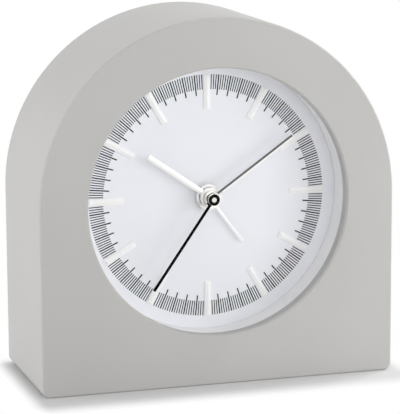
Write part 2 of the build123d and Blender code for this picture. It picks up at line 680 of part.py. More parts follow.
def tail_slot():
    """Room for both contact tails through the walls between the bay and the movement."""
    reach = CONTACT_THICKNESS + 2 * CLEARANCE
    low = BAY_TOP - CLEARANCE
    high = ROOM_BOTTOM + CLEARANCE
    right = block(BAY_RIGHT - reach, BAY_RIGHT, low, high, BOARD_FRONT - CLEARANCE, REAR_PLATE)
    left = block(BAY_LEFT, BAY_LEFT + reach, low, high, BOARD_FRONT - CLEARANCE, REAR_PLATE)
    return right + left


def movement_front():
    body = block(-MOVEMENT_HALF, MOVEMENT_HALF, HOUSING_BOTTOM, HOUSING_TOP, PAN_BACK, REAR_PLATE)
    body -= block(-ROOM_HALF, ROOM_HALF, ROOM_BOTTOM, ROOM_TOP, PLATE_BACK, REAR_PLATE)
    for at in CORNER_POSTS:
        body += peg(at, CORNER_POST, PLATE_BACK, MIDDLE_FRONT)
        body -= hole(at, HOUSING_SCREW_SHANK + PRESS_FIT, PLATE_BACK, MIDDLE_FRONT)
    lug_front = PAN_BACK + LUG_HEIGHT
    lug_back = lug_front + LUG_THICKNESS
    for at in LUGS:
        side = 1 if at[0] > 0 else -1
        x0, x1 = sorted((side * ROOM_HALF, at[0] + side * LUG_RADIUS))
        lug = block(x0, x1, at[1] - LUG_RADIUS, at[1] + LUG_RADIUS, lug_front, lug_back)
        body += lug - hole(at, SCREW_SHANK + CLEARANCE, lug_front, lug_back)
    body -= hole(CENTRE, ALARM_TUBE + SHAFT_FIT, PAN_BACK, PLATE_BACK)
    for at in (TIME_AXIS, ALARM_AXIS):
        body -= hole(at, FRONT_PIVOT + SHAFT_FIT, PAN_BACK, PLATE_BACK)
    return body - tail_slot()


def leaf_anchor():
    return (-ROOM_HALF + LEAF_INSET, AXIS_Z + LEAF_RISE)


def movement_middle():
    half = ROOM_HALF - CLEARANCE
    body = block(-half, half, ROOM_BOTTOM + CLEARANCE, ROOM_TOP - CLEARANCE, MIDDLE_FRONT, MIDDLE_BACK)
    for at in CORNER_POSTS:
        body -= hole(at, HOUSING_SCREW_SHANK + CLEARANCE, MIDDLE_FRONT, MIDDLE_BACK)
    for at in (THIRD_AXIS, ROTOR_AXIS):
        body -= hole(at, PIVOT_RADIUS + SHAFT_FIT, MIDDLE_FRONT, MIDDLE_BACK)
    for at in (TIME_AXIS, ALARM_AXIS):
        body -= hole(at, SHAFT_RADIUS + SHAFT_FIT, MIDDLE_FRONT, MIDDLE_BACK)
    body -= hole(CENTRE, MINUTE_TUBE + TUBE_WALL / 2 + SHAFT_FIT, MIDDLE_FRONT, MIDDLE_BACK)
    body += peg(MOTION_AXIS, POST_RADIUS, HOUR_LAYER, MIDDLE_FRONT)
    leaf_back = HOUR_LAYER + HOUR_WHEEL_WIDTH + LAYER_GAP / 2 + LEAF_THICKNESS
    return body + peg(leaf_anchor(), LEAF_WIDTH, leaf_back, MIDDLE_FRONT)


def alarm_contact():
    """The leaf that the hour wheel lifts when the alarm trips."""
    leaf_front = HOUR_LAYER + HOUR_WHEEL_WIDTH + LAYER_GAP / 2
    tip = polar(CENTRE, LEAF_TIP_REACH, LEAF_TIP_DIRECTION)
    anchor = leaf_anchor()
    line = Line(anchor, tip)
    strip = Pos(*(line @ 0.5)) * Rot(0, 0, line.tangent_angle_at(0)) * Rectangle(line.length, LEAF_WIDTH)
    foot = Pos(*anchor) * peg_outline(LEAF_WIDTH)
    return slab(strip + foot, leaf_front, leaf_front + LEAF_THICKNESS)


def switch_slot(height, y0, y1):
    low = SWITCH_X - SWITCH_NECK_WIDTH / 2 - CLEARANCE
    high = SWITCH_X + SWITCH_NECK_WIDTH / 2 + SWITCH_TRAVEL + CLEARANCE
    z = AXIS_Z + SWITCH_RISE
    return block(low, high, z - height / 2 - CLEARANCE, z + height / 2 + CLEARANCE, y0, y1)


def board_outline():
    """The strip over the bay and the column up the right side."""
    strip_half = CORNER_POST_X - CORNER_POST - CLEARANCE
    column_right = BAY_RIGHT
    column_low = POST_BOTTOM_Z + CORNER_POST + CLEARANCE
    column_high = POST_TOP_Z - CORNER_POST - CLEARANCE
    strip_low = ROOM_BOTTOM + CLEARANCE
    return strip_half, column_right, column_low, column_high, strip_low


def standoffs():
    strip_half, column_right, column_low, column_high, strip_low = board_outline()
    inset = STANDOFF_RADIUS + CLEARANCE
    low = strip_low + inset
    middle = (column_low + column_high) / 2
    return [(-strip_half + inset, low), (strip_half - inset, low), (column_right - inset, middle)]


def movement_rear():
    """The rear plate with the battery bay moulded under it, open to the back."""
    body = block(-MOVEMENT_HALF, MOVEMENT_HALF, HOUSING_BOTTOM, HOUSING_TOP, REAR_PLATE, MOVEMENT_BACK)
    left = BAY_LEFT - HOUSING_WALL
    right = BAY_RIGHT + HOUSING_WALL
    low = BAY_BOTTOM - HOUSING_WALL
    outer = block(left, right, low, HOUSING_BOTTOM, BAY_FLOOR - HOUSING_WALL, MOVEMENT_BACK)
    body += outer - block(BAY_LEFT, BAY_RIGHT, BAY_BOTTOM, BAY_TOP, BAY_FLOOR, MOVEMENT_BACK)
    for at in CORNER_POSTS:
        body += peg(at, CORNER_POST, MIDDLE_BACK, REAR_PLATE)
        body -= hole(at, HOUSING_SCREW_SHANK + CLEARANCE, MIDDLE_BACK, MOVEMENT_BACK)
    for at in standoffs():
        body += peg(at, STANDOFF_RADIUS, BOARD_BACK, REAR_PLATE)
    for at in (THIRD_AXIS, ROTOR_AXIS):
        body -= hole(at, PIVOT_RADIUS + SHAFT_FIT, REAR_PLATE, MOVEMENT_BACK)
    for at in (TIME_AXIS, ALARM_AXIS):
        body -= hole(at, SHAFT_RADIUS + SHAFT_FIT, REAR_PLATE, MOVEMENT_BACK)
    body -= hole(CENTRE, ARBOR_RADIUS + SHAFT_FIT, REAR_PLATE, MOVEMENT_BACK)
    body -= hole(INTERMEDIATE_AXIS, PIN_RADIUS + PRESS_FIT, REAR_PLATE, MOVEMENT_BACK)
    body -= switch_slot(SWITCH_NECK_HEIGHT, REAR_PLATE, MOVEMENT_BACK)
    return body - tail_slot()


def circuit_board():
    strip_half, column_right, column_low, column_high, strip_low = board_outline()
    strip_high = strip_low + BOARD_STRIP
    body = block(-strip_half, strip_half, strip_low, strip_high, BOARD_FRONT, BOARD_BACK)
    column_left = column_right - BOARD_COLUMN
    return body + block(column_left, column_right, column_low, column_high, BOARD_FRONT, BOARD_BACK)


def board_middle():
    strip_half, column_right, column_low, column_high, strip_low = board_outline()
    return strip_low + BOARD_STRIP / 2


def chip():
    z = board_middle()
    x = -CHIP_SIZE / 2 - CRYSTAL_LENGTH
    half = CHIP_SIZE / 2
    return block(x - half, x + half, z - half, z + half, BOARD_FRONT - CHIP_HEIGHT, BOARD_FRONT)


def crystal():
    """The can lies along X with a flat of its prism on the board."""
    start = Plane((0, BOARD_FRONT - CRYSTAL_RADIUS, board_middle()), x_dir=(0, 1, 0), z_dir=(1, 0, 0))
    return extrude(start * Rot(0, 0, 180 / ROUND_SIDES) * hole_outline(CRYSTAL_RADIUS), CRYSTAL_LENGTH)


def buzzer_place():
    strip_half, column_right, column_low, column_high, strip_low = board_outline()
    return (column_right - BOARD_COLUMN / 2, column_low + CLEARANCE + BUZZER_RADIUS)


def buzzer():
    at = buzzer_place()
    front = BOARD_FRONT - BUZZER_HEIGHT
    body = slab(Pos(*at) * RegularPolygon(BUZZER_RADIUS, HEAD_SIDES), front, BOARD_FRONT)
    return body - hole(at, BUZZER_PORT, front, front + BUZZER_PORT_DEPTH)


STATOR_FRONT = MAGNET_LAYER + MAGNET_HEIGHT / 2 - STATOR_THICKNESS / 2
STATOR_BACK = STATOR_FRONT + STATOR_THICKNESS
STATOR_HOLE = MAGNET_RADIUS + STATOR_AIR_GAP
STATOR_TOP = ROTOR_AXIS[1] + STATOR_HOLE + STATOR_RIM
STATOR_BASE = ROTOR_AXIS[1] - STATOR_HOLE - STATOR_RIM
COIL_Z = STATOR_TOP + CLEARANCE + BOBBIN_HEIGHT / 2
COIL_LEFT = ROTOR_AXIS[0] - STATOR_HOLE - STATOR_RIM
COIL_RIGHT = COIL_LEFT + COIL_LENGTH
CORE_FRONT = STATOR_FRONT - CORE_THICKNESS
CORE_Y = STATOR_FRONT - CORE_THICKNESS / 2


def stator():
    """A flat U: the pole piece round the rotor, and an arm up to each end of the coil core."""
    arm_top = COIL_Z + CORE_WIDTH / 2
    left = COIL_LEFT - CLEARANCE - STATOR_ARM
    right = COIL_RIGHT + CLEARANCE + STATOR_ARM
    pole_right = ROTOR_AXIS[0] + STATOR_HOLE + STATOR_RIM
    body = block(left, pole_right, STATOR_BASE, STATOR_TOP, STATOR_FRONT, STATOR_BACK)
    body += block(pole_right, right, STATOR_TOP - STATOR_ARM, STATOR_TOP, STATOR_FRONT, STATOR_BACK)
    body += block(left, left + STATOR_ARM, STATOR_TOP, arm_top, STATOR_FRONT, STATOR_BACK)
    body += block(right - STATOR_ARM, right, STATOR_TOP, arm_top, STATOR_FRONT, STATOR_BACK)
    body -= hole(INTERMEDIATE_AXIS, PIN_RADIUS + 2 * CLEARANCE, STATOR_FRONT, STATOR_BACK)
    return body - hole(ROTOR_AXIS, STATOR_HOLE, STATOR_FRONT, STATOR_BACK)


def coil_core():
    left = COIL_LEFT - CLEARANCE - STATOR_ARM
    right = COIL_RIGHT + CLEARANCE + STATOR_ARM
    half = CORE_WIDTH / 2
    return block(left, right, COIL_Z - half, COIL_Z + half, CORE_FRONT, STATOR_FRONT)


def coil_box(margin_z, margin_y, x0, x1):
    half_z = CORE_WIDTH / 2 + margin_z
    half_y = CORE_THICKNESS / 2 + margin_y
    return block(x0, x1, COIL_Z - half_z, COIL_Z + half_z, CORE_Y - half_y, CORE_Y + half_y)


def coil_bobbin():
    flange_z = (BOBBIN_HEIGHT - CORE_WIDTH) / 2
    flange_y = (BOBBIN_DEPTH - CORE_THICKNESS) / 2
    body = coil_box(BOBBIN_WALL, BOBBIN_WALL, COIL_LEFT, COIL_RIGHT)
    body += coil_box(flange_z, flange_y, COIL_LEFT, COIL_LEFT + BOBBIN_FLANGE)
    body += coil_box(flange_z, flange_y, COIL_RIGHT - BOBBIN_FLANGE, COIL_RIGHT)
    return body - coil_box(0, 0, COIL_LEFT, COIL_RIGHT)


def coil_winding():
    margin_z = (BOBBIN_HEIGHT - CORE_WIDTH) / 2 - WINDING_INSET
    margin_y = (BOBBIN_DEPTH - CORE_THICKNESS) / 2 - WINDING_INSET
    x0 = COIL_LEFT + BOBBIN_FLANGE
    x1 = COIL_RIGHT - BOBBIN_FLANGE
    body = coil_box(margin_z, margin_y, x0, x1)
    body = chamfer(body.edges().filter_by(Axis.X), WINDING_CHAMFER)
    return body - coil_box(BOBBIN_WALL, BOBBIN_WALL, x0, x1)


def battery():
    body_end = BAY_RIGHT - CONTACT_THICKNESS - CELL_NUB
    end = Plane((body_end, CELL_Y, CELL_Z), x_dir=(0, 1, 0), z_dir=(1, 0, 0))
    body = extrude(end * RegularPolygon(CELL_RADIUS, CELL_SIDES), -CELL_BODY)
    return body + extrude(end * RegularPolygon(CELL_NUB_RADIUS, CELL_SIDES), CELL_NUB)


def contact_pad(x0, x1):
    half = CONTACT_WIDTH / 2
    return block(x0, x1, CELL_Z - half, BAY_TOP - CLEARANCE, CELL_Y - half, CELL_Y + half)


def positive_contact():
    """A flat pad on the bay's end wall, with a tail up to the foot of the board's column."""
    strip_half, column_right, column_low, column_high, strip_low = board_outline()
    x0 = BAY_RIGHT - CONTACT_THICKNESS
    body = contact_pad(x0, BAY_RIGHT)
    body += block(x0, BAY_RIGHT, CELL_Z, BAY_TOP - CLEARANCE, CELL_Y, BOARD_BACK)
    return body + block(x0, BAY_RIGHT, CELL_Z, column_low, BOARD_FRONT, BOARD_BACK)


def negative_contact():
    """A pad with a folded leaf that presses the cell, and a tail across to the board's strip."""
    strip_half, column_right, column_low, column_high, strip_low = board_outline()
    x1 = BAY_LEFT + CONTACT_THICKNESS
    cell_end = BAY_RIGHT - CONTACT_THICKNESS - CELL_NUB - CELL_BODY
    half = CONTACT_WIDTH / 2
    body = contact_pad(BAY_LEFT, x1)
    fold_low = CELL_Z - half
    leaf = Polygon(
        (x1, fold_low),
        (cell_end, CELL_Z),
        (cell_end, CELL_Z + half),
        (cell_end - CONTACT_THICKNESS, CELL_Z + half),
        (cell_end - CONTACT_THICKNESS, CELL_Z + CONTACT_THICKNESS),
        (x1, fold_low + CONTACT_THICKNESS),
        align=None,
    )
    body += slab(leaf, CELL_Y - half, CELL_Y + half)
    tail_low = strip_low + BOARD_STRIP - CONTACT_THICKNESS
    tail_high = strip_low + BOARD_STRIP
    body += block(BAY_LEFT, x1, CELL_Z, BAY_TOP - CLEARANCE, CELL_Y, BOARD_BACK)
    body += block(BAY_LEFT, x1, CELL_Z, tail_high, BOARD_FRONT, BOARD_BACK)
    return body + block(BAY_LEFT, -strip_half, tail_low, tail_high, BOARD_FRONT, BOARD_BACK)


def screw(at, head_front, shank_radius, head_radius, length):
    """A pan-head screw driven from the back: its head lies behind head_front."""
    head_back = head_front + SCREW_HEAD_HEIGHT
    body = peg(at, shank_radius, head_front - length, head_front)
    body += slab(Pos(*at) * RegularPolygon(head_radius, HEAD_SIDES), head_front, head_back)
    slot = Pos(*at) * Rectangle(2 * head_radius, SCREW_SLOT)
    return body - slab(slot, head_back - SCREW_SLOT_DEPTH, head_back)


def cover_screws():
    reach = COVER_THICKNESS + SCREW_BITE - CLEARANCE
    return Compound(children=[screw(at, COVER_BACK, SCREW_SHANK, SCREW_HEAD, reach) for at in PILLARS])


def inner_screws():
    """The screws that hold the pan in the case, and those that hold the movement on the pan."""
    pan = [screw(at, PAN_BACK, SCREW_SHANK, SCREW_HEAD, PAN_FLOOR + SCREW_BITE - CLEARANCE) for at in EARS]
    lug_back = PAN_BACK + LUG_HEIGHT + LUG_THICKNESS
    reach = LUG_THICKNESS + LUG_SCREW_BITE - CLEARANCE
    lugs = [screw(at, lug_back, SCREW_SHANK, SCREW_HEAD, reach) for at in LUGS]
    return Compound(children=pan + lugs)


def housing_screws():
    reach = MOVEMENT_BACK - PLATE_BACK - LAYER_GAP
    sizes = (HOUSING_SCREW_SHANK, HOUSING_SCREW_HEAD, reach)
    return Compound(children=[screw(at, MOVEMENT_BACK, *sizes) for at in CORNER_POSTS])


def rear_cover():
    body = slab(arch(INNER_HALF - COVER_FIT, SIDE_WALL + COVER_FIT), COVER_FRONT, COVER_BACK)
    for at in PILLARS:
        body -= hole(at, SCREW_SHANK + CLEARANCE, COVER_FRONT, COVER_BACK)
    for at in (TIME_AXIS, ALARM_AXIS):
        body -= hole(at, SHAFT_RADIUS + CLEARANCE, COVER_FRONT, COVER_BACK)
    body -= switch_slot(SWITCH_NECK_HEIGHT, COVER_FRONT, COVER_BACK)
    at = buzzer_place()
    for k in range(SOUND_SLOTS):
        z = at[1] + 2 * SOUND_SLOT_WIDTH * (k - (SOUND_SLOTS - 1) / 2)
        slot = Pos(at[0], z) * Rectangle(SOUND_SLOT_LENGTH, SOUND_SLOT_WIDTH)
        body -= slab(slot, COVER_FRONT, COVER_BACK)
    half_x = DOOR_HALF_WIDTH + DOOR_LIP + CLEARANCE
    half_z = DOOR_HALF_HEIGHT + DOOR_LIP + CLEARANCE
    seat = COVER_BACK - DOOR_THICKNESS
    body -= block(-half_x, half_x, CELL_Z - half_z, CELL_Z + half_z, seat, COVER_BACK)
    through_x = DOOR_HALF_WIDTH
    through_z = DOOR_HALF_HEIGHT
    return body - block(-through_x, through_x, CELL_Z - through_z, CELL_Z + through_z, COVER_FRONT, seat)


def battery_door():
    half_x = DOOR_HALF_WIDTH + DOOR_LIP
    half_z = DOOR_HALF_HEIGHT + DOOR_LIP
    seat = COVER_BACK - DOOR_THICKNESS
    body = block(-half_x, half_x, CELL_Z - half_z, CELL_Z + half_z, seat, COVER_BACK)
    for k in range(DOOR_GRIP_RIBS):
        rib = Pos(0, CELL_Z + half_z - DOOR_RIB_PITCH * (k + 1)) * Rectangle(DOOR_RIB_LENGTH, DOOR_RIB_WIDTH)
        body += slab(rib, COVER_BACK, COVER_BACK + DOOR_RIB_HEIGHT)
    return body


def alarm_switch():
    """The slider: a ribbed cap outside, a neck through the cover and a flange that keeps it in."""
    z = AXIS_Z + SWITCH_RISE
    cap_front = COVER_BACK + CLEARANCE
    cap_back = cap_front + SWITCH_CAP_DEPTH
    flange_back = COVER_FRONT - CLEARANCE
    neck = Pos(SWITCH_X, z) * Rectangle(SWITCH_NECK_WIDTH, SWITCH_NECK_HEIGHT)
    cap = Pos(SWITCH_X, z) * Rectangle(SWITCH_CAP_WIDTH, SWITCH_CAP_HEIGHT)
    body = slab(neck, BOARD_BACK + CLEARANCE, cap_front)
    body += slab(cap, flange_back - SWITCH_FLANGE, flange_back)
    body += slab(cap, cap_front, cap_back)
    for k in range(SWITCH_GROOVES):
        x = SWITCH_X + GROOVE_PITCH * (k - (SWITCH_GROOVES - 1) / 2)
        groove = Pos(x, z) * Rectangle(GROOVE_WIDTH, SWITCH_CAP_HEIGHT)
        body -= slab(groove, cap_back - GROOVE_DEPTH, cap_back)
    return body


PIECES = (
    case_shell,
    lens,
    dial_pan,
    dial,
    hour_markers,
    alarm_hand,
    hour_hand,
    minute_hand,
    second_hand,
    second_hand_bush,
    second_wheel,
    third_wheel,
    centre_wheel,
    minute_arbor,
    motion_wheel,
    hour_wheel,
    alarm_wheel,
    intermediate_wheel,
    intermediate_pin,
    rotor_pinion,
    rotor_magnet,
    time_set_shaft,
    alarm_set_shaft,
    time_set_knob,
    alarm_set_knob,
    movement_front,
    movement_middle,
    movement_rear,
    alarm_contact,
    circuit_board,
    chip,
    crystal,
    buzzer,
    stator,
    coil_core,
    coil_bobbin,
    coil_winding,
    battery,
    positive_contact,
    negative_contact,
    cover_screws,
    inner_screws,
    housing_screws,
    rear_cover,
    battery_door,
    alarm_switch,
)

os.makedirs("parts", exist_ok=True)
for piece in PIECES:
    export_step(piece(), f"parts/{piece.__name__}.step")
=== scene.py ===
from math import cos, degrees, pi, radians, sin

import bmesh
import bpy
from mathutils import Matrix, Vector


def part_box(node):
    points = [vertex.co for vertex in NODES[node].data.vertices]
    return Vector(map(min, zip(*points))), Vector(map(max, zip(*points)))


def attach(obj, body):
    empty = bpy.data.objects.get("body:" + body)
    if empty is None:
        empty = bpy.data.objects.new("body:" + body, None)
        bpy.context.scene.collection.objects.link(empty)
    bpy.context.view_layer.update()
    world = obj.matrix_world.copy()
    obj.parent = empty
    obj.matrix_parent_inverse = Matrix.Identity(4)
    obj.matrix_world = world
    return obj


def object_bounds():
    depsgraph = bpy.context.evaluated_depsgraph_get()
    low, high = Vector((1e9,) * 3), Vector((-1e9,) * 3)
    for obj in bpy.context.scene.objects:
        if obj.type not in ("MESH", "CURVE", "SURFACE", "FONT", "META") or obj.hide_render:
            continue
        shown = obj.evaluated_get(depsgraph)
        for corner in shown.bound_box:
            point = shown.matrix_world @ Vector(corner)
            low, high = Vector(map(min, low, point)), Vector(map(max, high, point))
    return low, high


# Looks of an arched table alarm clock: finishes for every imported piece, the dial's print, the signs
# printed on the rear cover, and a plain white studio. Sizes are in millimetres, turned to metres by MM.

MM = 0.001

# A wave texture of scale one repeats every this many units
WAVE_TURN = 2 * pi / 20

# Noise lies mostly between these two values, and has this many finer layers
NOISE_LOW = 0.3
NOISE_HIGH = 0.7
NOISE_DETAIL = 2.0

# Pattern sizes; the lathe rings and the coil's wire are drawn coarser than real ones, so that they show
LATHE_PITCH = 0.3
LATHE_DEPTH = 0.004
WIRE_PITCH = 0.3
WIRE_DEPTH = 0.1
COPPER_SPACING = 4.0
INK_GRAIN = 0.6

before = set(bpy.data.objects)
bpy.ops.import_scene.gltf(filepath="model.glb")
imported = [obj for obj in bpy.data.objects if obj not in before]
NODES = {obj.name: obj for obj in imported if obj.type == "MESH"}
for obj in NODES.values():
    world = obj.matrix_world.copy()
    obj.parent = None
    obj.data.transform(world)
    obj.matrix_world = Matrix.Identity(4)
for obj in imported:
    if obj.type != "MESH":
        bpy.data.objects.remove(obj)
CAD_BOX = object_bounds()

# Camera, fitted to the outline and dial of the photographed clock
CAMERA_PLACE = (-196.49, -642.61, 176.43)
CAMERA_YAW = 17.07
CAMERA_PITCH = 10.833
CAMERA_ROLL = -0.3076
CAMERA_LENS = 202.97
SENSOR = 36.0
CLIP_START = 10.0

# Dial print: a track of fine divisions, with a longer stroke at each minute and none by an hour bar
TRACK_DIVISIONS = 300
TRACK_OUTER = 35.35
TRACK_INNER = 31.05
MINUTE_INNER = 29.4
STROKE_WIDTH = 0.27
MINUTE_WIDTH = 0.36
INK_HEIGHT = 0.03
DIVISIONS_PER_MINUTE = 5
DIVISIONS_PER_HOUR = 25
MARKER_SPAN = 1

# Hands: a turned boss round the axis, and a bare tube behind the second hand's lacquered washer
BOSS_RADIUS = 3.7
BOSS_EDGE = 0.3
TUBE_RADIUS = 1.68
WASHER = 0.15
MASK_EDGE = 0.04

# Signs printed on the rear cover
ARROW_RADIUS = 8.2
ARROW_WIDTH = 0.7
ARROW_SWEEP = 76.0
ARROW_HEAD = 2.4
CLOCK_RADIUS = 2.2
CLOCK_LINE = 0.45
CLOCK_MINUTE = 1.35
CLOCK_HOUR = 1.0
BELL_RADIUS = 1.2
BELL_SKIRT = 0.95
BELL_FLARE = 1.7
BELL_LIP = 1.55
CLAPPER_RADIUS = 0.5
CLAPPER_GAP = 0.25
KNOB_SIGN = 9.0
SWITCH_SIGN = 9.8
SIGN_HEIGHT = 0.05
ARC_STEPS = 24

# Studio
FLOOR_SIZE = 6000.0
FLOOR_DROP = 0.02
# Painted shade on the floor: grey paper round the clock's footprint, set forward by the first, fading out to
# plain white by the second, and narrower sideways by the third
PAINTED_SHADE_FORWARD = 6.0
PAINTED_SHADE_END = 12.0
PAINTED_SHADE_SIDEWAYS = 2.2
KEY_SIDE = 3.0
KEY_RISE = 13.0
KEY_DISTANCE = 700.0
KEY_SIZE = 280.0
KEY_WATTS = 0.74
NEAR_PLACE = (270.0, -280.0, 90.0)
NEAR_SIZE = 200.0
NEAR_WATTS = 0.36
HIGH_PLACE = (1000.0, 260.0, 1000.0)
HIGH_SIZE = 700.0
HIGH_WATTS = 10.6
SIDE_PLACE = (-1200.0, 180.0, 100.0)
SIDE_SIZE = 500.0
SIDE_WATTS = 8.8
WORLD_LIGHT = 0.6
DARK_LIGHT = 0.14
DARK_CENTRE = (-0.141, -0.888, 0.438)
DARK_CORE = 6.0
DARK_EDGE = 9.0


def linear(code):
    """An sRGB hex colour as linear red, green, blue and a solid alpha."""
    channels = [int(code[i : i + 2], 16) / 255 for i in (1, 3, 5)]
    return tuple(c / 12.92 if c <= 0.04045 else ((c + 0.055) / 1.055) ** 2.4 for c in channels) + (1.0,)


def per_mm(size):
    """A texture scale at which one feature is about this many millimetres wide."""
    return 1 / (size * MM)


def node(tree, kind, props=None, inputs=None):
    """Adds a node, sets its properties and fills its inputs: a socket is linked, a value is stored."""
    made = tree.nodes.new("ShaderNode" + kind)
    for key, value in (props or {}).items():
        setattr(made, key, value)
    for key, value in (inputs or {}).items():
        socket = made.inputs[key]
        if isinstance(value, bpy.types.NodeSocket):
            tree.links.new(value, socket)
        else:
            socket.default_value = value
    return made


def new_material(name):
    mat = bpy.data.materials.new(name)
    mat.use_nodes = True
    mat.node_tree.nodes.clear()
    return mat, mat.node_tree


def show(tree, shader):
    node(tree, "OutputMaterial", inputs={"Surface": shader.outputs[0]})


def speckled(tree, size, low, high):
    """Noise with features of this size in millimetres, and a ramp of it between two hex colours."""
    place = node(tree, "TexCoord").outputs["Object"]
    noise = node(
        tree, "TexNoise", inputs={"Vector": place, "Scale": per_mm(size), "Detail": NOISE_DETAIL}
    )
    ramp = node(tree, "ValToRGB", inputs={"Fac": noise.outputs["Fac"]})
    ramp.color_ramp.elements[0].position = NOISE_LOW
    ramp.color_ramp.elements[0].color = linear(low)
    ramp.color_ramp.elements[1].position = NOISE_HIGH
    ramp.color_ramp.elements[1].color = linear(high)
    return noise, ramp


def grain_bump(tree, size, depth, strength):
    """Bump from noise with features of this size and depth in millimetres."""
    place = node(tree, "TexCoord").outputs["Object"]
    noise = node(
        tree, "TexNoise", inputs={"Vector": place, "Scale": per_mm(size), "Detail": NOISE_DETAIL}
    )
    return node(
        tree, "Bump", inputs={"Height": noise.outputs["Fac"], "Distance": depth * MM, "Strength": strength}
    )


def rough_range(tree, source, low, high):
    return node(tree, "MapRange", inputs={"Value": source, "To Min": low, "To Max": high}).outputs["Result"]


def any_ray(tree, path, *kinds):
    """One for a ray of any of these kinds, and nought for the rest."""
    found = path.outputs[kinds[0]]
    for kind in kinds[1:]:
        found = node(
            tree, "Math", props={"operation": "MAXIMUM"}, inputs={0: found, 1: path.outputs[kind]}
        ).outputs[0]
    return found


def satin_lacquer():
    """Polyurethane lacquer sprayed over the case: a warm grey film, satin, with a faint orange peel."""
    mat, tree = new_material("satin_lacquer")
    noise, tone = speckled(tree, size=30.0, low="#bcbbb9", high="#c0bfbd")
    peel = grain_bump(tree, size=1.4, depth=0.02, strength=0.12)
    shader = node(
        tree,
        "BsdfPrincipled",
        inputs={
            "Base Color": tone.outputs["Color"],
            "Roughness": rough_range(tree, noise.outputs["Fac"], 0.50, 0.58),
            "IOR": 1.5,
            "Specular IOR Level": 0.3,
            "Normal": peel.outputs["Normal"],
        },
    )
    show(tree, shader)
    return mat


def clear_lens():
    """Cast acrylic, polished and coated against glare: clear, and lamps pass through it."""
    mat, tree = new_material("clear_lens")
    glass = node(
        tree,
        "BsdfPrincipled",
        inputs={
            "Base Color": linear("#ffffff"),
            "Roughness": 0.0,
            "IOR": 1.49,
            "Transmission Weight": 1.0,
            "Specular Tint": linear("#1c1c1c"),
        },
    )
    through = node(tree, "BsdfTransparent")
    path = node(tree, "LightPath")
    unseen = any_ray(tree, path, "Is Shadow Ray", "Is Reflection Ray")
    mixed = node(tree, "MixShader", inputs={0: unseen, 1: glass.outputs[0], 2: through.outputs[0]})
    show(tree, mixed)
    return mat


def moulded(name, low, high, rough, grain=0.5, depth=0.02, strength=0.25, ior=1.5, level=0.5):
    """Injection-moulded plastic: a little colour drift, and the tool's spark-eroded grain."""
    mat, tree = new_material(name)
    noise, tone = speckled(tree, size=8.0, low=low, high=high)
    bump = grain_bump(tree, grain, depth, strength)
    shader = node(
        tree,
        "BsdfPrincipled",
        inputs={
            "Base Color": tone.outputs["Color"],
            "Roughness": rough_range(tree, noise.outputs["Fac"], rough - 0.04, rough + 0.04),
            "IOR": ior,
            "Specular IOR Level": level,
            "Normal": bump.outputs["Normal"],
        },
    )
    show(tree, shader)
    return mat


def dial_enamel():
    """Matt white ink over an aluminium disc: a cool white with the screen's faint tooth."""
    mat, tree = new_material("dial_enamel")
    noise, tone = speckled(tree, size=18.0, low="#eff0f5", high="#f2f3f8")
    bump = grain_bump(tree, size=0.3, depth=0.004, strength=0.15)
    shader = node(
        tree,
        "BsdfPrincipled",
        inputs={
            "Base Color": tone.outputs["Color"],
            "Roughness": rough_range(tree, noise.outputs["Fac"], 0.66, 0.74),
            "IOR": 1.5,
            "Specular IOR Level": 0.25,
            "Normal": bump.outputs["Normal"],
        },
    )
    show(tree, shader)
    return mat


def printing_ink(name, code):
    """Screen-printing ink: a flat film of one colour, with a slightly uneven sheen."""
    mat, tree = new_material(name)
    place = node(tree, "TexCoord").outputs["Object"]
    noise = node(
        tree, "TexNoise", inputs={"Vector": place, "Scale": per_mm(INK_GRAIN), "Detail": NOISE_DETAIL}
    )
    shader = node(
        tree,
        "BsdfPrincipled",
        inputs={
            "Base Color": linear(code),
            "Roughness": rough_range(tree, noise.outputs["Fac"], 0.5, 0.62),
            "Specular IOR Level": 0.06,
        },
    )
    show(tree, shader)
    return mat


def polished_metal(name, low, high, rough, streak=0.35, strength=0.03):
    """Plated and polished metal: mirror-like, with the polishing wheel's faint streaks."""
    mat, tree = new_material(name)
    noise, tone = speckled(tree, size=4.0, low=low, high=high)
    bump = grain_bump(tree, size=streak, depth=0.004, strength=strength)
    shader = node(
        tree,
        "BsdfPrincipled",
        inputs={
            "Base Color": tone.outputs["Color"],
            "Metallic": 1.0,
            "Roughness": rough_range(tree, noise.outputs["Fac"], rough * 0.8, rough * 1.2),
            "Normal": bump.outputs["Normal"],
        },
    )
    show(tree, shader)
    return mat


def dial_place():
    """The middle of the dial's front face."""
    low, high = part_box("dial")
    return Vector(((low.x + high.x) / 2, low.y, (low.z + high.z) / 2))


def round_axis(tree):
    """The place from the dial's middle, and the distance from the hands' axis."""
    place = node(tree, "TexCoord").outputs["Object"]
    middle = node(
        tree, "VectorMath", props={"operation": "SUBTRACT"}, inputs={0: place, 1: dial_place()}
    ).outputs["Vector"]
    across = node(
        tree, "VectorMath", props={"operation": "MULTIPLY"}, inputs={0: middle, 1: (1, 0, 1)}
    ).outputs["Vector"]
    radius = node(tree, "VectorMath", props={"operation": "LENGTH"}, inputs={0: across}).outputs["Value"]
    return middle, radius


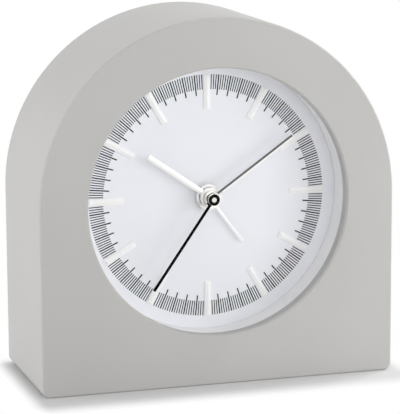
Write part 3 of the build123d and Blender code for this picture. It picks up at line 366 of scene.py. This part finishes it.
def plated_hand(name, blade, boss, rough):
    """Rhodium over a stamped brass hand: a bright blade, and a boss whose lathe rings look greyer."""
    mat, tree = new_material(name)
    middle, radius = round_axis(tree)
    reach = node(
        tree,
        "MapRange",
        inputs={
            "Value": radius,
            "From Min": (BOSS_RADIUS - BOSS_EDGE) * MM,
            "From Max": (BOSS_RADIUS + BOSS_EDGE) * MM,
        },
    )
    tone = node(tree, "ValToRGB", inputs={"Fac": reach.outputs["Result"]})
    tone.color_ramp.elements[0].color = linear(boss)
    tone.color_ramp.elements[1].color = linear(blade)
    rings = node(
        tree,
        "TexWave",
        props={"wave_type": "RINGS", "rings_direction": "Y"},
        inputs={"Vector": middle, "Scale": WAVE_TURN * per_mm(LATHE_PITCH)},
    )
    cut = node(
        tree,
        "MapRange",
        inputs={"Value": reach.outputs["Result"], "To Min": rings.outputs["Fac"], "To Max": 0.0},
    )
    turned = node(
        tree,
        "Bump",
        inputs={"Height": cut.outputs["Result"], "Distance": LATHE_DEPTH * MM, "Strength": 0.15},
    )
    shader = node(
        tree,
        "BsdfPrincipled",
        inputs={
            "Base Color": tone.outputs["Color"],
            "Metallic": 1.0,
            "Roughness": rough_range(tree, rings.outputs["Fac"], rough * 0.9, rough * 1.1),
            "Normal": turned.outputs["Normal"],
        },
    )
    show(tree, shader)
    return mat


def lacquered_hand():
    """Black lacquer over a stamped hand: its washer and blade are black, the tube behind is bare."""
    mat, tree = new_material("black_lacquer")
    middle, radius = round_axis(tree)
    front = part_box("second_hand")[0].y - dial_place().y
    depth = node(tree, "SeparateXYZ", inputs={"Vector": middle}).outputs["Y"]
    behind = node(
        tree,
        "MapRange",
        inputs={
            "Value": depth,
            "From Min": front + WASHER * MM,
            "From Max": front + (WASHER + MASK_EDGE) * MM,
        },
    )
    inside = node(
        tree,
        "MapRange",
        inputs={
            "Value": radius,
            "From Min": TUBE_RADIUS * MM,
            "From Max": (TUBE_RADIUS + MASK_EDGE) * MM,
            "To Min": 1.0,
            "To Max": 0.0,
        },
    )
    bare = node(
        tree,
        "Math",
        props={"operation": "MULTIPLY"},
        inputs={0: behind.outputs["Result"], 1: inside.outputs["Result"]},
    ).outputs[0]
    tone = node(tree, "ValToRGB", inputs={"Fac": bare})
    tone.color_ramp.elements[0].color = linear("#040404")
    tone.color_ramp.elements[1].color = linear("#c9c8c5")
    shader = node(
        tree,
        "BsdfPrincipled",
        inputs={
            "Base Color": tone.outputs["Color"],
            "Metallic": bare,
            "Roughness": rough_range(tree, bare, 0.55, 0.3),
            "Specular IOR Level": 0.06,
        },
    )
    show(tree, shader)
    return mat


def wound_wire():
    """Enamelled copper wire, wound in close turns across the coil, with painted shade: the copper is darker
    in the grooves between turns.
    """
    mat, tree = new_material("wound_wire")
    place = node(tree, "TexCoord").outputs["Object"]
    turns = node(
        tree,
        "TexWave",
        props={"wave_type": "BANDS", "bands_direction": "X"},
        inputs={"Vector": place, "Scale": WAVE_TURN * per_mm(WIRE_PITCH), "Distortion": 0.4},
    )
    # Painted shade: the copper is darker in the grooves between turns, in step with the bump, and brighter on
    # their crowns
    ramp = node(tree, "ValToRGB", inputs={"Fac": turns.outputs["Fac"]})
    ramp.color_ramp.elements[0].color = linear("#6a3014")
    ramp.color_ramp.elements[1].color = linear("#c9763c")
    bump = node(
        tree,
        "Bump",
        inputs={"Height": turns.outputs["Fac"], "Distance": WIRE_DEPTH * MM, "Strength": 0.6},
    )
    shader = node(
        tree,
        "BsdfPrincipled",
        inputs={
            "Base Color": ramp.outputs["Color"],
            "Metallic": 0.8,
            "Roughness": 0.32,
            "Normal": bump.outputs["Normal"],
        },
    )
    show(tree, shader)
    return mat


def circuit_laminate():
    """Glass-epoxy board under green solder mask, with paler copper runs beneath it."""
    mat, tree = new_material("circuit_laminate")
    place = node(tree, "TexCoord").outputs["Object"]
    runs = node(
        tree,
        "TexBrick",
        inputs={
            "Vector": place,
            "Color1": linear("#1d5a32"),
            "Color2": linear("#1a5230"),
            "Mortar": linear("#3c8a52"),
            "Scale": per_mm(COPPER_SPACING),
            "Mortar Size": 0.08,
        },
    )
    shader = node(
        tree,
        "BsdfPrincipled",
        inputs={"Base Color": runs.outputs["Color"], "Roughness": 0.35, "IOR": 1.5},
    )
    show(tree, shader)
    return mat


def paper_floor_with_painted_shade():
    """White paper sweep: it keeps the real shadow by the object, with painted shade added: grey diffuse paper
    round the footprint, set forward and narrowed sideways, fading by distance out to plain white further off.
    """
    mat, tree = new_material("paper_floor_with_painted_shade")
    path = node(tree, "LightPath")
    seen = any_ray(tree, path, "Is Camera Ray", "Is Transmission Ray", "Is Glossy Ray")
    place = node(tree, "TexCoord").outputs["Object"]
    # The painted shade's zone: distance from the clock's footprint, set forward and stretched sideways
    ahead = node(
        tree, "VectorMath", props={"operation": "ADD"}, inputs={0: place, 1: (0, PAINTED_SHADE_FORWARD * MM, 0)}
    )
    folded = node(tree, "VectorMath", props={"operation": "ABSOLUTE"}, inputs={0: ahead.outputs["Vector"]})
    high = CAD_BOX[1]
    beyond = node(
        tree,
        "VectorMath",
        props={"operation": "SUBTRACT"},
        inputs={0: folded.outputs["Vector"], 1: (high[0], high[1], 0)},
    )
    outside = node(
        tree, "VectorMath", props={"operation": "MAXIMUM"}, inputs={0: beyond.outputs["Vector"], 1: (0, 0, 0)}
    )
    shaped = node(
        tree,
        "VectorMath",
        props={"operation": "MULTIPLY"},
        inputs={0: outside.outputs["Vector"], 1: (PAINTED_SHADE_SIDEWAYS, 1, 0)},
    )
    away = node(tree, "VectorMath", props={"operation": "LENGTH"}, inputs={0: shaped.outputs["Vector"]})
    painted_shade_fade = node(
        tree,
        "MapRange",
        props={"interpolation_type": "SMOOTHSTEP"},
        inputs={
            "Value": away.outputs["Value"],
            "From Min": 0.0,
            "From Max": PAINTED_SHADE_END * MM,
        },
    )
    # Grey diffuse paper near the footprint, where the far floor glows plain white: painted shade round the
    # base, on top of the real shadow it keeps
    near = node(tree, "BsdfDiffuse", inputs={"Color": linear("#dedede")})
    far = node(tree, "Emission", inputs={"Color": linear("#ffffff"), "Strength": 1.0})
    painted_shade_sweep = node(
        tree,
        "MixShader",
        inputs={0: painted_shade_fade.outputs["Result"], 1: near.outputs[0], 2: far.outputs[0]},
    )
    bounce = node(tree, "BsdfDiffuse", inputs={"Color": linear("#d8d8d8")})
    mixed = node(tree, "MixShader", inputs={0: seen, 1: bounce.outputs[0], 2: painted_shade_sweep.outputs[0]})
    show(tree, mixed)
    return mat


def white_room():
    """A white light tent. A narrow dark gap in it, high at the front, gives polished metal its edge."""
    world = bpy.data.worlds.new("white_room")
    world.use_nodes = True
    tree = world.node_tree
    tree.nodes.clear()
    direction = node(tree, "TexCoord").outputs["Generated"]
    unit = node(tree, "VectorMath", props={"operation": "NORMALIZE"}, inputs={0: direction})
    facing = node(
        tree,
        "VectorMath",
        props={"operation": "DOT_PRODUCT"},
        inputs={0: unit.outputs["Vector"], 1: Vector(DARK_CENTRE).normalized()},
    )
    mirrored = node(
        tree,
        "MapRange",
        props={"interpolation_type": "SMOOTHSTEP"},
        inputs={
            "Value": facing.outputs["Value"],
            "From Min": cos(radians(DARK_EDGE)),
            "From Max": cos(radians(DARK_CORE)),
            "To Min": 1.0,
            "To Max": DARK_LIGHT,
        },
    )
    white = linear("#ffffff")
    path = node(tree, "LightPath")
    seen = any_ray(tree, path, "Is Camera Ray", "Is Transmission Ray")
    lit = node(tree, "Background", inputs={"Color": white, "Strength": WORLD_LIGHT})
    gloss = node(tree, "Background", inputs={"Color": white, "Strength": mirrored.outputs["Result"]})
    plain = node(tree, "Background", inputs={"Color": white, "Strength": 1.0})
    bounced = node(
        tree,
        "MixShader",
        inputs={0: path.outputs["Is Glossy Ray"], 1: lit.outputs[0], 2: gloss.outputs[0]},
    )
    mixed = node(tree, "MixShader", inputs={0: seen, 1: bounced.outputs[0], 2: plain.outputs[0]})
    node(tree, "OutputWorld", inputs={"Surface": mixed.outputs[0]})
    bpy.context.scene.world = world


LACQUER = satin_lacquer()
LENS = clear_lens()
SURROUND = moulded("surround_abs", "#fafafa", "#fdfdfd", rough=0.45, strength=0.1, level=0.35)
ENAMEL = dial_enamel()
MINUTE_PLATE = plated_hand("bright_rhodium_plate", blade="#f4f4f4", boss="#e8e7e5", rough=0.08)
HOUR_PLATE = plated_hand("satin_rhodium_plate", blade="#f2f2f0", boss="#e8e7e5", rough=0.45)
ALARM_PLATE = plated_hand("white_rhodium_plate", blade="#fcfcfc", boss="#e8e7e5", rough=0.3)
BUSH_PLATE = polished_metal("nickel_bush", "#d6d5d3", "#dcdbd9", rough=0.3)
WHITE_BARS = moulded("white_bar_lacquer", "#fbfbfa", "#fefefd", rough=0.3, strength=0.05)
BLACK_LACQUER = lacquered_hand()
TRACK_INK = printing_ink("track_ink", "#0a0a0b")
SIGN_INK = printing_ink("sign_ink", "#d2d2ce")
STEEL = polished_metal("bright_steel", "#b4b4b2", "#c2c2c0", rough=0.28, strength=0.08)
NICKEL = polished_metal("nickel_strip", "#c8c2b4", "#d2ccbe", rough=0.3, strength=0.08)
FERRITE = moulded("sintered_ferrite", "#2c2c2e", "#343436", rough=0.6)
ACETAL = moulded("natural_acetal", "#e6e4da", "#ecebe2", rough=0.4, strength=0.08, ior=1.48)
HOUSING = moulded("housing_abs", "#6a6c70", "#707276", rough=0.55)
COVER = moulded("cover_abs", "#232324", "#2a2a2b", rough=0.62, strength=0.5, level=0.35)
CONTROL = moulded("control_abs", "#1b1b1c", "#212122", rough=0.42, strength=0.15, level=0.4)
BOARD = circuit_laminate()
EPOXY = moulded("chip_epoxy", "#121213", "#18181a", rough=0.5, strength=0.1)
BOBBIN = moulded("bobbin_nylon", "#d8d2bc", "#e0dac6", rough=0.45, strength=0.1)
WIRE = wound_wire()
SLEEVE = moulded("cell_sleeve", "#5a5c60", "#626468", rough=0.25, strength=0.02)

FINISHES = {
    "case_shell": LACQUER,
    "lens": LENS,
    "dial_pan": SURROUND,
    "dial": ENAMEL,
    "hour_markers": WHITE_BARS,
    "alarm_hand": ALARM_PLATE,
    "hour_hand": HOUR_PLATE,
    "minute_hand": MINUTE_PLATE,
    "second_hand": BLACK_LACQUER,
    "second_hand_bush": BUSH_PLATE,
    "rotor_magnet": FERRITE,
    "intermediate_pin": STEEL,
    "movement_front": HOUSING,
    "movement_middle": HOUSING,
    "movement_rear": HOUSING,
    "alarm_contact": NICKEL,
    "circuit_board": BOARD,
    "chip": EPOXY,
    "crystal": STEEL,
    "buzzer": CONTROL,
    "stator": STEEL,
    "coil_core": STEEL,
    "coil_bobbin": BOBBIN,
    "coil_winding": WIRE,
    "battery": SLEEVE,
    "positive_contact": NICKEL,
    "negative_contact": NICKEL,
    "cover_screws": STEEL,
    "inner_screws": STEEL,
    "housing_screws": STEEL,
    "rear_cover": COVER,
    "battery_door": COVER,
    "alarm_switch": CONTROL,
    "time_set_knob": CONTROL,
    "alarm_set_knob": CONTROL,
}


def dress_nodes():
    """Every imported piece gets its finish; the gears, arbors and shafts are acetal."""
    for name, obj in NODES.items():
        obj.data.materials.clear()
        obj.data.materials.append(FINISHES.get(name, ACETAL))


def joined_mesh(name, build, finish, body):
    """A piece whose mesh is filled by build, with a finish, riding on a body."""
    shape = bmesh.new()
    build(shape)
    bmesh.ops.recalc_face_normals(shape, faces=shape.faces[:])
    mesh = bpy.data.meshes.new(name)
    shape.to_mesh(mesh)
    shape.free()
    mesh.materials.append(finish)
    piece = bpy.data.objects.new(name, mesh)
    bpy.context.scene.collection.objects.link(piece)
    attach(piece, body)
    return piece


def prism(shape, outline, depth):
    """A closed prism: the outline's points, carried by depth."""
    near = [shape.verts.new(p) for p in outline]
    far = [shape.verts.new(Vector(p) + depth) for p in outline]
    shape.faces.new(near)
    shape.faces.new(far[::-1])
    count = len(outline)
    for i in range(count):
        j = (i + 1) % count
        shape.faces.new((near[i], far[i], far[j], near[j]))


def minute_track(shape):
    """Fine strokes round the dial, left out where an hour marker stands."""
    centre = dial_place()
    out = Vector((0, -INK_HEIGHT * MM, 0))
    for k in range(TRACK_DIVISIONS):
        past_hour = k % DIVISIONS_PER_HOUR
        if min(past_hour, DIVISIONS_PER_HOUR - past_hour) <= MARKER_SPAN:
            continue
        on_minute = k % DIVISIONS_PER_MINUTE == 0
        inner = MINUTE_INNER if on_minute else TRACK_INNER
        half = (MINUTE_WIDTH if on_minute else STROKE_WIDTH) * MM / 2
        angle = 2 * pi * k / TRACK_DIVISIONS
        along = Vector((sin(angle), 0, cos(angle)))
        across = Vector((cos(angle), 0, -sin(angle))) * half
        near = centre + along * inner * MM
        far = centre + along * TRACK_OUTER * MM
        prism(shape, [near - across, near + across, far + across, far - across], out)


def polar(radius, angle, middle=(0.0, 0.0)):
    """A point at a distance and an angle from a middle, in millimetres and degrees."""
    return middle[0] + radius * cos(radians(angle)), middle[1] + radius * sin(radians(angle))


def arc(radius, start, end, middle=(0.0, 0.0)):
    """Points along an arc, in millimetres and degrees."""
    return [polar(radius, start + (end - start) * i / ARC_STEPS, middle) for i in range(ARC_STEPS + 1)]


def sign(shape, centre, outline):
    """A printed sign on the rear cover: its outline in millimetres about a centre, and the ink's height."""
    points = [centre + Vector((u, 0, v)) * MM for u, v in outline]
    prism(shape, points, Vector((0, SIGN_HEIGHT * MM, 0)))


def arrow_sign(shape, centre):
    """A bent arrow over a knob, for the way it is turned."""
    half = ARROW_WIDTH / 2
    start = 90 - ARROW_SWEEP / 2
    end = 90 + ARROW_SWEEP / 2
    tip = end + degrees(ARROW_HEAD / ARROW_RADIUS)
    outline = arc(ARROW_RADIUS + half, start, end)
    outline.append(polar(ARROW_RADIUS + ARROW_HEAD / 2, end))
    outline.append(polar(ARROW_RADIUS, tip))
    outline.append(polar(ARROW_RADIUS - ARROW_HEAD / 2, end))
    outline += arc(ARROW_RADIUS - half, end, start)
    sign(shape, centre, outline)


def clock_sign(shape, centre):
    """A ring with two hands, by the knob that sets the time."""
    inner = CLOCK_RADIUS - CLOCK_LINE
    loops = []
    for radius, lift in ((CLOCK_RADIUS, 0), (CLOCK_RADIUS, SIGN_HEIGHT), (inner, SIGN_HEIGHT), (inner, 0)):
        points = arc(radius, 0, 360)[:-1]
        loops.append([shape.verts.new(centre + Vector((u, lift, v)) * MM) for u, v in points])
    for i in range(ARC_STEPS):
        j = (i + 1) % ARC_STEPS
        for near, far in zip(loops, loops[1:] + loops[:1]):
            shape.faces.new((near[i], near[j], far[j], far[i]))
    half = CLOCK_LINE / 2
    hour = [(-half, -half), (CLOCK_HOUR, -half), (CLOCK_HOUR, half), (half, half)]
    sign(shape, centre, hour + [(half, CLOCK_MINUTE), (-half, CLOCK_MINUTE)])


def bell_sign(shape, centre):
    """A bell with its clapper, by what belongs to the alarm."""
    left = [(-BELL_RADIUS, -BELL_SKIRT), (-BELL_FLARE, -BELL_LIP)]
    right = [(BELL_FLARE, -BELL_LIP), (BELL_RADIUS, -BELL_SKIRT)]
    sign(shape, centre, arc(BELL_RADIUS, 0, 180) + left + right)
    sign(shape, centre, arc(CLAPPER_RADIUS, 180, 360, (0, -BELL_LIP - CLAPPER_GAP)))


def rear_signs(shape):
    """An arrow over each knob, a clock and a bell beside them, and a bell where the alarm switch is on."""
    cover_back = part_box("rear_cover")[1].y

    def beside(name, across=0.0):
        low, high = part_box(name)
        return Vector(((low.x + high.x) / 2 + across * MM, cover_back, (low.z + high.z) / 2))

    arrow_sign(shape, beside("time_set_knob"))
    arrow_sign(shape, beside("alarm_set_knob"))
    clock_sign(shape, beside("time_set_knob", -KNOB_SIGN))
    bell_sign(shape, beside("alarm_set_knob", KNOB_SIGN))
    bell_sign(shape, beside("alarm_switch", SWITCH_SIGN))


def floor():
    """The paper sweep that the clock stands on."""
    half = FLOOR_SIZE * MM / 2
    mesh = bpy.data.meshes.new("floor")
    corners = [(-half, -half), (half, -half), (half, half), (-half, half)]
    mesh.from_pydata([(x, y, -FLOOR_DROP * MM) for x, y in corners], [], [(0, 1, 2, 3)])
    mesh.materials.append(paper_floor_with_painted_shade())
    sheet = bpy.data.objects.new("floor", mesh)
    bpy.context.scene.collection.objects.link(sheet)


def softbox(name, place, target, size, watts):
    """A square area lamp at a place, turned to a target."""
    lamp = bpy.data.lights.new(name, "AREA")
    lamp.shape = "SQUARE"
    lamp.size = size * MM
    lamp.energy = watts
    box = bpy.data.objects.new(name, lamp)
    box.location = place
    box.rotation_mode = "QUATERNION"
    box.rotation_quaternion = (target - place).to_track_quat("-Z", "Y")
    bpy.context.scene.collection.objects.link(box)


def lights():
    """A soft key at the front, a near box at the front right, one high at the right and one at the left."""
    target = dial_place()
    side = radians(KEY_SIDE)
    rise = radians(KEY_RISE)
    toward = Vector((sin(side) * cos(rise), -cos(side) * cos(rise), sin(rise)))
    softbox("key", target + toward * KEY_DISTANCE * MM, target, KEY_SIZE, KEY_WATTS)
    softbox("near_right", Vector(NEAR_PLACE) * MM, target, NEAR_SIZE, NEAR_WATTS)
    softbox("high_right", Vector(HIGH_PLACE) * MM, target, HIGH_SIZE, HIGH_WATTS)
    softbox("left_side", Vector(SIDE_PLACE) * MM, target, SIDE_SIZE, SIDE_WATTS)


def camera():
    """The photograph's viewpoint: turned to the right, tipped down and barely rolled."""
    yaw = radians(CAMERA_YAW)
    pitch = radians(CAMERA_PITCH)
    roll = radians(CAMERA_ROLL)
    forward = Vector((sin(yaw) * cos(pitch), cos(yaw) * cos(pitch), -sin(pitch)))
    level = forward.cross(Vector((0, 0, 1))).normalized()
    rise = level.cross(forward)
    right = level * cos(roll) + rise * sin(roll)
    up = rise * cos(roll) - level * sin(roll)
    lens = bpy.data.cameras.new("camera")
    lens.lens = CAMERA_LENS
    lens.sensor_width = SENSOR
    lens.clip_start = CLIP_START * MM
    view = bpy.data.objects.new("camera", lens)
    turn = Matrix((right, up, -forward)).transposed().to_4x4()
    view.matrix_world = Matrix.Translation(Vector(CAMERA_PLACE) * MM) @ turn
    bpy.context.scene.collection.objects.link(view)
    bpy.context.scene.camera = view


bpy.context.scene.view_settings.view_transform = "Standard"
dress_nodes()
joined_mesh("minute_track", minute_track, TRACK_INK, "case")
joined_mesh("rear_signs", rear_signs, SIGN_INK, "case")
white_room()
floor()
lights()
camera()
